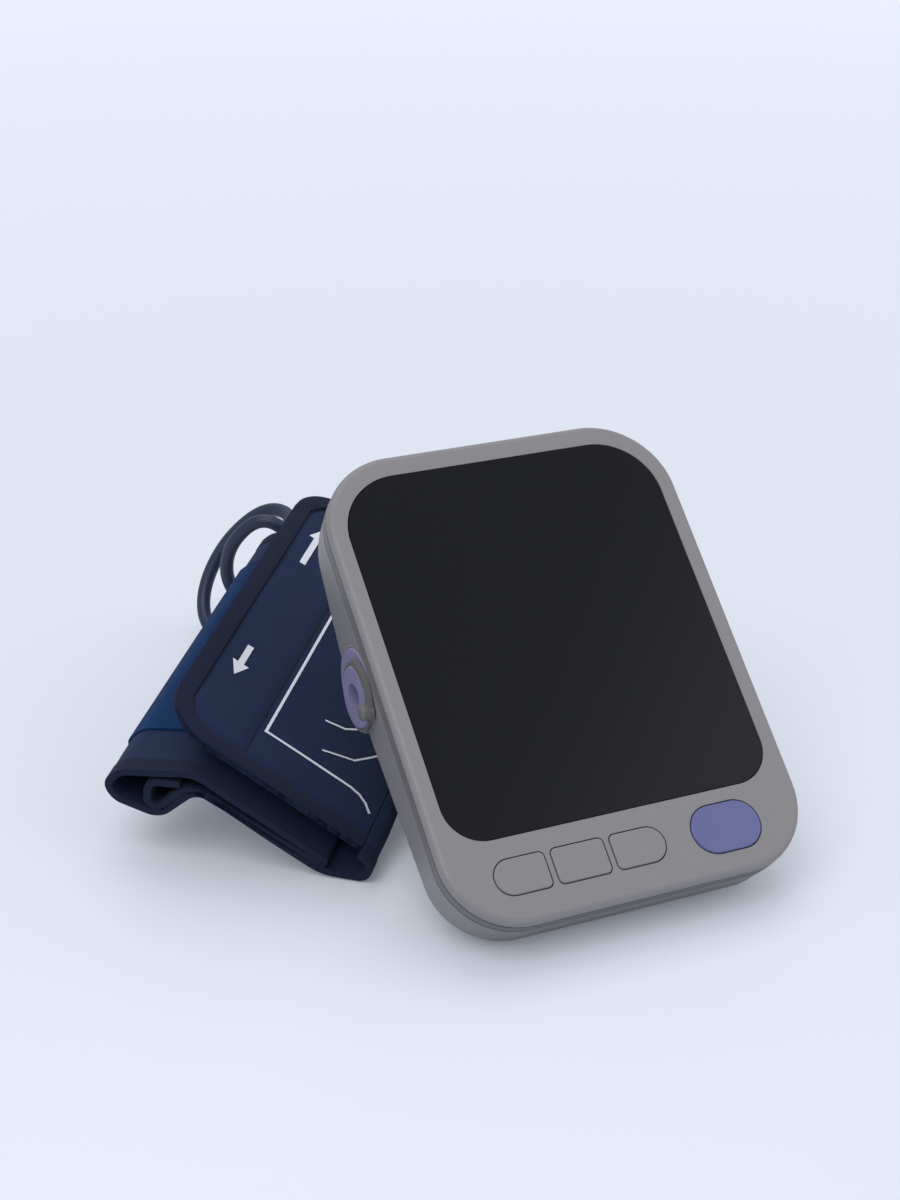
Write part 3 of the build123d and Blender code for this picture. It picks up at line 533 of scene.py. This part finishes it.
seam_x = along(-29.0)
BEND_START, BEND_END = 17.0, 11.5
panel = finished(flap_grid("flap_cloth", False), MATERIALS["navy_cloth"], None)
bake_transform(panel)
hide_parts("flap_panel")
tape = finished(flap_grid("flap_tape", True), MATERIALS["navy_tape"], None)
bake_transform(tape)
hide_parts("flap_binding")

strap_points = rounded_line(strap_line, strap_rounds)
CREASE = 0.35
roll = wrapped("strap_cloth", strap_points, STRAP_START, STRAP_START + STRAP_WIDTH, 0, THICKNESS, CREASE)
finished(roll, MATERIALS["navy_cloth"], "base")
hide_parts("cuff_cloth", "cuff_lining", "air_bladder")
TAPE_PROUD = 0.2
tape_thickness = THICKNESS + 2 * TAPE_PROUD
strap_end = STRAP_START + STRAP_WIDTH
near_span = (STRAP_START - TAPE_PROUD, STRAP_START + TAPE_WIDTH)
far_span = (strap_end - TAPE_WIDTH, strap_end + TAPE_PROUD)
tape_near = wrapped("strap_tape_near", strap_points, *near_span, TAPE_PROUD, tape_thickness, CREASE, 6)
tape_far = wrapped("strap_tape_far", strap_points, *far_span, TAPE_PROUD, tape_thickness, CREASE, 6)
for strip in (tape_near, tape_far):
    finished(strip, MATERIALS["navy_tape"], "base")
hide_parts("edge_binding")

STITCH_INSET = 5.0
CORNER = 10.5
corner_turn = [math.radians(9 * i) for i in range(11)]
stitch_left, stitch_near = flap_left + STITCH_INSET, flap_near + STITCH_INSET
near_turn = [
    (stitch_left + CORNER * (1 - math.sin(a)), stitch_near + CORNER * (1 - math.cos(a))) for a in corner_turn
]
far_turn = [(x, flap_near + flap_far - y) for x, y in reversed(near_turn)]
edge_seam = [(BEND_END, flap_near + STITCH_INSET), *near_turn, *far_turn, (BEND_END, flap_far - STITCH_INSET)]
seams = dashes(edge_seam) + dashes([(seam_x, flap_near + 6), (seam_x, flap_far - 6)])
flat_print("flap_seams", seams, flap, STITCH, "flap")

ARROW_S = along(-40.0)
arrows = arrow(ARROW_S, 33.4, 47.4) + arrow(ARROW_S, 112.0, 93.0)
flat_print("index_arrows", arrows, flap, PRINT, "flap")
frame_left = along(-27.2)
outline = [(frame_left, 92.0), (frame_left, 21.0), (along(-4.4), 20.5)]
for turn in (20, 40, 60):
    angle = math.radians(turn)
    outline.append((along(-4.4) + 8.5 * math.sin(angle), 20.5 - 8.5 * (1 - math.cos(angle))))
arm = [(frame_left + 13, 38.5)]
arm += [(frame_left + 13 + 12 * math.sin(a), 51 - 12.5 * math.cos(a)) for a in (0.5, 0.9, 1.3, 1.7, 2.1)]
forearm = [(frame_left + x, y) for x, y in ((16, 27), (25, 31), (31, 39), (33, 52))]
flat_print("fitting_diagram", stroke(outline, 0.8) + stroke(arm, 0.6) + stroke(forearm, 0.6), flap, PRINT, "flap")

# Floor, backdrop and lights
def plain(name, colour, roughness):
    return material(name, colour, roughness, 20, 0.0, 0.0)


bpy.ops.object.select_all(action="DESELECT")
bpy.ops.mesh.primitive_plane_add(size=1, location=(0, 0, -0.0005))
floor = bpy.context.object
floor.name = "floor"
floor.scale = (24, 24, 1)
floor_paint = plain("floor_pale", (224, 230, 239), 0.35)
floor.data.materials.append(floor_paint)
floor_nodes, floor_links = floor_paint.node_tree.nodes, floor_paint.node_tree.links
floor_shader = floor_nodes["Principled BSDF"]
floor_shader.inputs["Emission Color"].default_value = linear((226, 233, 243))
far_fade = floor_nodes.new("ShaderNodeMapRange")
far_fade.inputs["From Min"].default_value = 0.01
far_fade.inputs["From Max"].default_value = 0.06
far_fade.inputs["To Min"].default_value = 0.15
far_fade.inputs["To Max"].default_value = 0.5
floor_place = floor_nodes.new("ShaderNodeTexCoord")
floor_reach = floor_nodes.new("ShaderNodeVectorMath")
floor_reach.operation = "LENGTH"
seen_floor = floor_nodes.new("ShaderNodeLightPath")
glow = floor_nodes.new("ShaderNodeMath")
glow.operation = "MULTIPLY"
floor_links.new(floor_place.outputs["Object"], floor_reach.inputs[0])
floor_links.new(floor_reach.outputs["Value"], far_fade.inputs["Value"])
floor_links.new(far_fade.outputs["Result"], glow.inputs[0])
floor_links.new(seen_floor.outputs["Is Camera Ray"], glow.inputs[1])
floor_links.new(glow.outputs["Value"], floor_shader.inputs["Emission Strength"])
bpy.ops.object.select_all(action="DESELECT")
world = bpy.data.worlds.new("studio")
bpy.context.scene.world = world
world.use_nodes = True
backdrop = world.node_tree.nodes["Background"]
backdrop.inputs["Color"].default_value = linear((240, 243, 249))
path = world.node_tree.nodes.new("ShaderNodeLightPath")
seen = world.node_tree.nodes.new("ShaderNodeMix")
seen.inputs["A"].default_value = 0.55
seen.inputs["B"].default_value = 1.0
world.node_tree.links.new(path.outputs["Is Camera Ray"], seen.inputs["Factor"])
world.node_tree.links.new(seen.outputs["Result"], backdrop.inputs["Strength"])


def lamp(name, spot, aim, size, power, colour=(1, 1, 1)):
    data = bpy.data.lights.new(name, "AREA")
    data.size = size
    data.energy = power
    data.color = colour
    light = bpy.data.objects.new(name, data)
    bpy.context.scene.collection.objects.link(light)
    light.location = spot
    light.rotation_euler = (Vector(aim) - Vector(spot)).to_track_quat("-Z", "Y").to_euler()
    return light


lamp("key_light", (-0.6, -0.5, 1.1), (0, 0, 0.03), 0.9, 5.4)
lamp("fill_light", (0.9, -0.6, 0.6), (0, 0, 0.05), 1.2, 2.4)
lamp("top_light", (0.1, 0.5, 1.2), (0, 0, 0.05), 1.0, 3.2)
